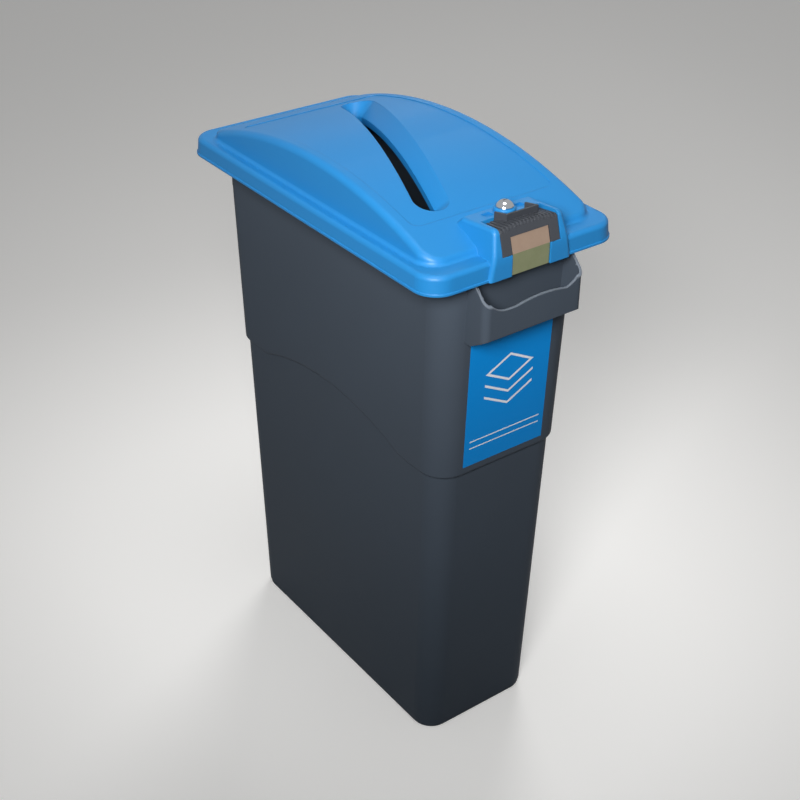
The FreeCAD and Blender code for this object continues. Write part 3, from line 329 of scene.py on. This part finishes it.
drive(ink_shader, Roughness=between(ink, speckle, 0.3, 0.42))
label_lean = Matrix.Rotation(math.atan(WALL_RUN_MM / WALL_RISE_MM), 4, "X")
on_label = Matrix.Translation((0, LABEL_FACE, LABEL_LOW)) @ label_lean


def set_upright(piece, width, height, level):
    """Gives a flat upright print its size and its level above the label's foot."""
    piece.scale = (width, height, 1)
    bpy.ops.object.transform_apply(location=True, rotation=True, scale=True)
    piece.data.transform(Matrix.Translation((0, 0, level)))


def laid_on_label(piece, name):
    """Gives a flat print its thickness and lays it on the sticker."""
    piece.name = name
    bpy.ops.object.mode_set(mode="EDIT")
    bpy.ops.mesh.select_all(action="SELECT")
    bpy.ops.mesh.extrude_region_move(TRANSFORM_OT_translate={"value": (0, -INK, 0)})
    bpy.ops.mesh.select_all(action="SELECT")
    bpy.ops.mesh.normals_make_consistent(inside=False)
    bpy.ops.object.mode_set(mode="OBJECT")
    piece.data.transform(on_label)
    finished(piece, "bin", "label_film", ink)


bpy.ops.mesh.primitive_circle_add(vertices=4, radius=0.5, fill_type="NGON", rotation=(math.pi / 2, 0, 0))
top_sheet = bpy.context.object
set_upright(top_sheet, SHEET_WIDTH, SHEET_HEIGHT, STACK_LEVEL)
bpy.ops.object.mode_set(mode="EDIT")
bpy.ops.mesh.select_all(action="SELECT")
bpy.ops.mesh.inset(thickness=STROKE)
bpy.ops.mesh.delete(type="FACE")
bpy.ops.object.mode_set(mode="OBJECT")
laid_on_label(top_sheet, "label_print_top_sheet")
for step in (1, 2):
    sheet_level = STACK_LEVEL - step * STACK_STEP
    bpy.ops.mesh.primitive_circle_add(vertices=4, radius=0.5, fill_type="NOTHING",
                                      rotation=(math.pi / 2, 0, 0))
    lower_sheet = bpy.context.object
    set_upright(lower_sheet, SHEET_WIDTH, SHEET_HEIGHT, sheet_level)
    pick(lower_sheet, "vertices", lambda vertex: vertex.co.z > sheet_level + SHEET_HEIGHT / 4)
    bpy.ops.mesh.delete(type="VERT")
    bpy.ops.mesh.select_all(action="SELECT")
    bpy.ops.mesh.extrude_region_move(TRANSFORM_OT_translate={"value": (0, 0, UPRIGHT_STROKE)})
    bpy.ops.object.mode_set(mode="OBJECT")
    laid_on_label(lower_sheet, f"label_print_lower_sheet_{step}")
for index, rule_level in enumerate(RULE_LEVELS):
    bpy.ops.mesh.primitive_plane_add(size=1, rotation=(math.pi / 2, 0, 0))
    rule = bpy.context.object
    set_upright(rule, RULE_WIDTH, RULE_HEIGHT, rule_level)
    laid_on_label(rule, f"label_print_rule_{index}")


# Hinge screws: zinc plated pan heads with a cross recess, through the bracket into the rim.
# All four are alike, so one is shaped and then copied to each place.

HEAD_RADIUS, HEAD_HEIGHT, HEAD_ROUND, HEAD_SIDES = 0.0044, 0.0026, 0.0012, 32
ROUND_STEPS = 5
SHANK_RADIUS = 0.0024
RECESS_SIZE = (0.0046, 0.0030, 0.0010)
SCREW_X = (-0.052, -0.015, 0.015, 0.052)
SHARPEST_SMOOTH = math.radians(35)
TINY, FACING_IN = 1e-6, -0.9
screw_low, screw_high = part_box("hinge_screws")
screw_level = (screw_low[2] + screw_high[2]) / 2
head_top, shank_end = screw_high[1], screw_low[1]
head_seat = head_top - HEAD_HEIGHT
bpy.ops.mesh.primitive_cylinder_add(vertices=HEAD_SIDES, radius=HEAD_RADIUS, depth=HEAD_HEIGHT,
                                    location=(0, head_seat + HEAD_HEIGHT / 2, screw_level),
                                    rotation=(math.pi / 2, 0, 0))
screw = bpy.context.object
bpy.ops.object.transform_apply(location=True, rotation=True, scale=True)
pick(screw, "polygons", lambda face: face.normal.y < FACING_IN)
bpy.ops.mesh.inset(thickness=HEAD_RADIUS - SHANK_RADIUS)
bpy.ops.mesh.extrude_region_move(TRANSFORM_OT_translate={"value": (0, shank_end - head_seat, 0)})
pick(screw, "edges", lambda edge: all(screw.data.vertices[i].co.y > head_top - TINY for i in edge.vertices))
bpy.ops.mesh.bevel(offset=HEAD_ROUND, segments=ROUND_STEPS)
bpy.ops.object.mode_set(mode="OBJECT")
for turn in (0, math.pi / 2):
    bpy.ops.mesh.primitive_cube_add(size=1, location=(0, head_top, screw_level), rotation=(0, turn, 0))
    recess = bpy.context.object
    recess.scale = RECESS_SIZE
    bpy.ops.object.transform_apply(location=True, rotation=True, scale=True)
    bpy.context.view_layer.objects.active = screw
    apply_modifier(screw, "BOOLEAN", operation="DIFFERENCE", object=recess)
    bpy.data.objects.remove(recess)
for index, screw_x in enumerate(SCREW_X):
    placed = bpy.data.objects.new(f"hinge_screw_{index}", screw.data.copy())
    placed.data.transform(Matrix.Translation((screw_x, 0, 0)))
    bpy.context.collection.objects.link(placed)
    finished(placed, "bin", "zinc_steel", zinc_steel, "hinge_screws")
    bpy.ops.object.shade_smooth_by_angle(angle=SHARPEST_SMOOTH)
bpy.data.objects.remove(screw)


# Floor and room: a plain pale floor in a plain pale room.
# Both look pale, also in gloss and metal, but they throw back little light, so that undersides stay in shade.

FLOOR_SIZE = 30
FLOOR_GLOW = 0.30
ROOM_LIGHT, ROOM_SEEN = 0.08, 0.75
FLOOR_PALE, FLOOR_DARK, ROOM_TONE = "eeedeb", "2c2d2f", "e6e8ea"


def seen_rays(holder):
    """One for rays that show the studio, straight or in gloss and glass, and nought for its bounced light."""
    ray = add_node(holder, "ShaderNodeLightPath")
    mirrored = add_node(holder, "ShaderNodeMath", {"operation": "MAXIMUM"},
                        {0: ray.outputs["Is Glossy Ray"], 1: ray.outputs["Is Transmission Ray"]})
    seen = add_node(holder, "ShaderNodeMath", {"operation": "MAXIMUM"},
                    {0: ray.outputs["Is Camera Ray"], 1: mirrored.outputs["Value"]})
    return seen.outputs["Value"]


bpy.ops.mesh.primitive_plane_add(size=FLOOR_SIZE)
floor = bpy.context.object
floor.name = "studio_floor"
floor_paint, floor_shader = new_finish("pale_studio_floor", FLOOR_PALE, Roughness=0.8,
                                       Emission_Color=linear(FLOOR_PALE))[:2]
floor_seen = seen_rays(floor_paint)
drive(floor_shader, Base_Color=blend(floor_paint, floor_seen, FLOOR_DARK, FLOOR_PALE),
      Emission_Strength=between(floor_paint, floor_seen, 0.0, FLOOR_GLOW))
floor.data.materials.append(floor_paint)

world = bpy.data.worlds.new("soft_room")
world.use_nodes = True
room = world.node_tree.nodes["Background"]
room.inputs["Color"].default_value = linear(ROOM_TONE)
drive(room, Strength=between(world, seen_rays(world), ROOM_LIGHT, ROOM_SEEN))
bpy.context.scene.world = world


# Lamps: a dim one straight above, a softbox beside the viewer and a weaker one at the far corner.
# All have a grid and are aimed high, so their light narrows and the body grows darker towards the floor.

def soft_lamp(name, place, aim, size, watts, spread, in_gloss=True):
    """A round soft lamp at a place, turned to what it is aimed at, and kept out of the gloss if asked."""
    lamp = bpy.data.lights.new(name, "AREA")
    lamp.shape = "DISK"
    lamp.size = size
    lamp.energy = watts
    lamp.spread = math.radians(spread)
    holder = bpy.data.objects.new(name, lamp)
    bpy.context.collection.objects.link(holder)
    holder.location = place
    holder.visible_glossy = in_gloss
    holder.rotation_euler = (Vector(aim) - Vector(place)).to_track_quat("-Z", "Y").to_euler()


soft_lamp("ceiling_lamp", (-0.15, -0.3, 3.0), aim=(-0.05, -0.1, 0.8), size=1.2, watts=4.5, spread=90)
soft_lamp("viewer_softbox", (-1.1, -1.15, 1.6), aim=(0, -0.1, 1.0), size=0.6, watts=7.6, spread=68)
soft_lamp("far_softbox", (1.3, 1.25, 1.3), aim=(0, 0.1, 0.8), size=1.0, watts=5.5, spread=80, in_gloss=False)


# Camera: a standing viewer at the bin's front corner, who looks down on it.
# The place, the turn and the focal length were fitted to the body's edges and the lid's corners.

EYE = Vector((-1.0005, -1.3667, 1.4757))
YAW, PITCH, ROLL = math.radians(36.66), math.radians(32.12), math.radians(0.52)
FOCAL_PIXELS, FRAME_PIXELS, SENSOR_MM = 1432.0, 800.0, 36.0
ahead = Vector((math.sin(YAW) * math.cos(PITCH), math.cos(YAW) * math.cos(PITCH), -math.sin(PITCH)))
level_right = Vector((math.cos(YAW), -math.sin(YAW), 0))
level_up = level_right.cross(ahead)
right = math.cos(ROLL) * level_right + math.sin(ROLL) * level_up
up = -math.sin(ROLL) * level_right + math.cos(ROLL) * level_up
camera = bpy.data.objects.new("camera", bpy.data.cameras.new("camera"))
bpy.context.collection.objects.link(camera)
camera.data.sensor_width = SENSOR_MM
camera.data.lens = SENSOR_MM * FOCAL_PIXELS / FRAME_PIXELS
camera.matrix_world = Matrix.Translation(EYE) @ Matrix((right, up, -ahead)).transposed().to_4x4()
bpy.context.scene.camera = camera
bpy.context.scene.view_settings.view_transform = "Standard"
